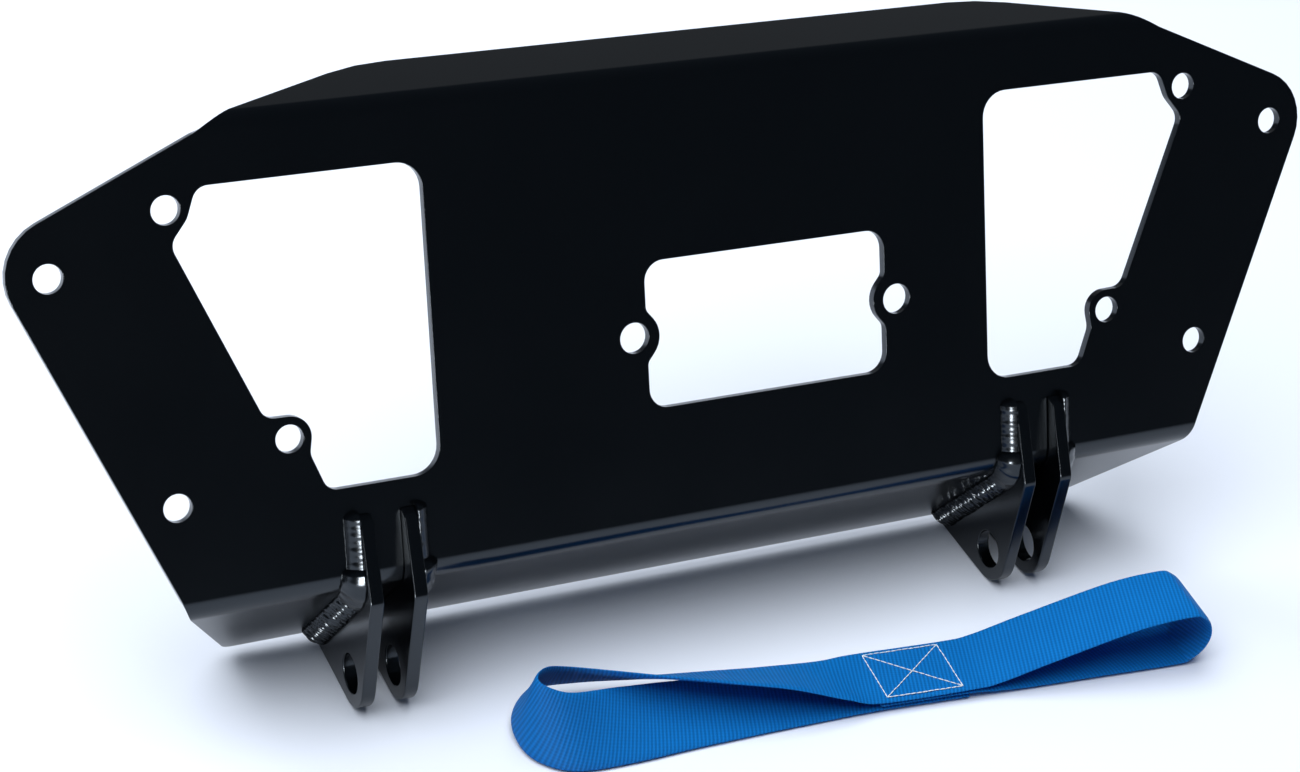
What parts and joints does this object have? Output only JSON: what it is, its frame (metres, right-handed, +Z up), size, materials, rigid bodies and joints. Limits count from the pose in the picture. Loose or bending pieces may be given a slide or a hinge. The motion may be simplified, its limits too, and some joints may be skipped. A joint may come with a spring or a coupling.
{
  "type": "plow mount",
  "caption": "Bent steel plate with welded clevis brackets that carries a plow push frame on a small utility vehicle, with its sewn lift strap.",
  "frame": {"origin": "on the plate's rear face, 70 mm above the fairlead holes and on the middle line, where the vehicle holds it", "axes": "+X to the right along the plate's bends, +Y away from the viewer towards the vehicle, +Z up"},
  "size_m": [0.5894, 0.1909, 0.2381],
  "materials": {
    "black_powder_coat": "glossy powder coat",
    "blue_webbing": "woven polyester webbing",
    "white_thread": "bonded sewing thread"
  },
  "bodies": {
    "mount": {"mount_plate": "black_powder_coat", "left_outer_ear": "black_powder_coat", "left_inner_ear": "black_powder_coat", "right_inner_ear": "black_powder_coat", "right_outer_ear": "black_powder_coat", "left_outer_ear_face_weld": "black_powder_coat", "left_outer_ear_bend_weld": "black_powder_coat", "left_outer_ear_flange_weld": "black_powder_coat", "left_inner_ear_face_weld": "black_powder_coat", "left_inner_ear_bend_weld": "black_powder_coat", "left_inner_ear_flange_weld": "black_powder_coat", "right_inner_ear_face_weld": "black_powder_coat", "right_inner_ear_bend_weld": "black_powder_coat", "right_inner_ear_flange_weld": "black_powder_coat", "right_outer_ear_face_weld": "black_powder_coat", "right_outer_ear_bend_weld": "black_powder_coat", "right_outer_ear_flange_weld": "black_powder_coat"},
    "strap": {"strap_webbing": "blue_webbing", "strap_stitching_top": "white_thread", "strap_stitching_bottom": "white_thread"}
  },
  "joints": [
    {"name": "strap_lift", "type": "slide", "parent": "mount", "child": "strap", "axis": [0, 0, 1], "range_m": [0, 0.15]}
  ]
}
